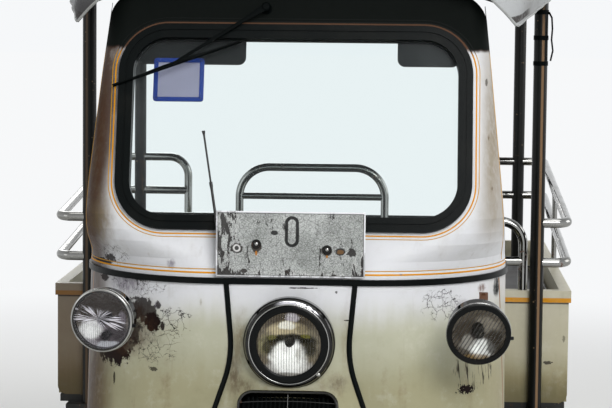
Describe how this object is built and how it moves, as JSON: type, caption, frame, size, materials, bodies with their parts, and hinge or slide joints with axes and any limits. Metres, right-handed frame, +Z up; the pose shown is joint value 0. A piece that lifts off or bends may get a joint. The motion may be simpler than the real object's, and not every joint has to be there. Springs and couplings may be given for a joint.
{
  "type": "three-wheeled auto rickshaw with rear passenger tub",
  "caption": "Open three-wheeled taxi with a raked windscreen, handlebar steering, a rear tub with side benches and a canopy on tube posts.",
  "frame": {"origin": "middle of the vehicle's length and width on the ground", "axes": "+Z up, -Y the way it drives, +X its left side"},
  "size_m": [1.44, 2.96, 1.78],
  "materials": {
    "cream_paint": "aged ivory enamel, scratched and stained",
    "black_enamel": "worn dark brown-black enamel",
    "chassis_paint": "dull black chassis paint with road dirt",
    "chrome": "bright chrome",
    "black_rubber": "semi-gloss black rubber",
    "tyre": "worn black tyre",
    "windscreen_glass": "clear laminated glass",
    "lamp_glass": "fluted clear lamp glass",
    "red_lens": "red ribbed lamp plastic",
    "grey_vinyl": "light grey coated canopy cloth",
    "black_vinyl": "black seat vinyl",
    "plate_paint": "weathered grey-white painted plate, blank",
    "wheel_paint": "silver-grey wheel enamel",
    "bare_steel": "oily dark steel",
    "engine_metal": "dirty cast aluminium",
    "black_plastic": "matt black plastic",
    "blue_plastic": "blue plastic frame with a pale card"
  },
  "bodies": {
    "chassis": {"aerial": "black_plastic", "bench_boxes": "cream_paint", "bench_cushions": "black_vinyl", "body_welts": "black_rubber", "cab_floor": "chassis_paint", "canopy": "grey_vinyl", "cowl": "cream_paint", "dash": "black_plastic", "driver_cushions": "black_vinyl", "driver_hoop": "chrome", "driver_seat_box": "cream_paint", "engine_block": "engine_metal", "exhaust": "bare_steel", "frame_rails": "chassis_paint", "front_bumper": "chrome", "fuel_tank": "chassis_paint", "grille": "chrome", "headlamp": "chrome", "headlamp_lens": "lamp_glass", "leaf_springs": "chassis_paint", "nose_centre": "cream_paint", "nose_side_left": "cream_paint", "nose_side_right": "cream_paint", "number_plates": "plate_paint", "partition_rail": "chrome", "permit_holder": "blue_plastic", "rear_axle": "bare_steel", "rear_step": "chrome", "roof_frame": "black_enamel", "roof_posts": "black_enamel", "side_lamp_lenses": "lamp_glass", "side_lamps": "chrome", "side_rails_left": "chrome", "side_rails_right": "chrome", "sun_visors": "black_plastic", "tail_lamps": "red_lens", "tub_floor": "chassis_paint", "tub_front": "cream_paint", "tub_rear": "cream_paint", "tub_sides": "cream_paint", "windscreen_gasket": "black_rubber", "windscreen_glass": "windscreen_glass", "wiper": "black_plastic"},
    "steering": {"fork": "bare_steel", "handlebar": "chrome"},
    "front_wheel": {"front_tyre": "tyre", "front_rim": "wheel_paint"},
    "rear_wheel_left": {"rear_left_tyre": "tyre", "rear_left_rim": "wheel_paint"},
    "rear_wheel_right": {"rear_right_tyre": "tyre", "rear_right_rim": "wheel_paint"}
  },
  "joints": [
    {"name": "steer", "type": "hinge", "parent": "chassis", "child": "steering", "pos_m": [0, -1.12, 0.262], "axis": [0, 0.342, 0.9397], "range_deg": [-40, 40]},
    {"name": "front_wheel_spin", "type": "hinge", "parent": "steering", "child": "front_wheel", "pos_m": [0, -1.12, 0.262], "axis": [1, 0, 0], "continuous": true},
    {"name": "rear_left_spin", "type": "hinge", "parent": "chassis", "child": "rear_wheel_left", "pos_m": [0.565, 0.85, 0.262], "axis": [1, 0, 0], "continuous": true},
    {"name": "rear_right_spin", "type": "hinge", "parent": "chassis", "child": "rear_wheel_right", "pos_m": [-0.565, 0.85, 0.262], "axis": [1, 0, 0], "continuous": true}
  ]
}
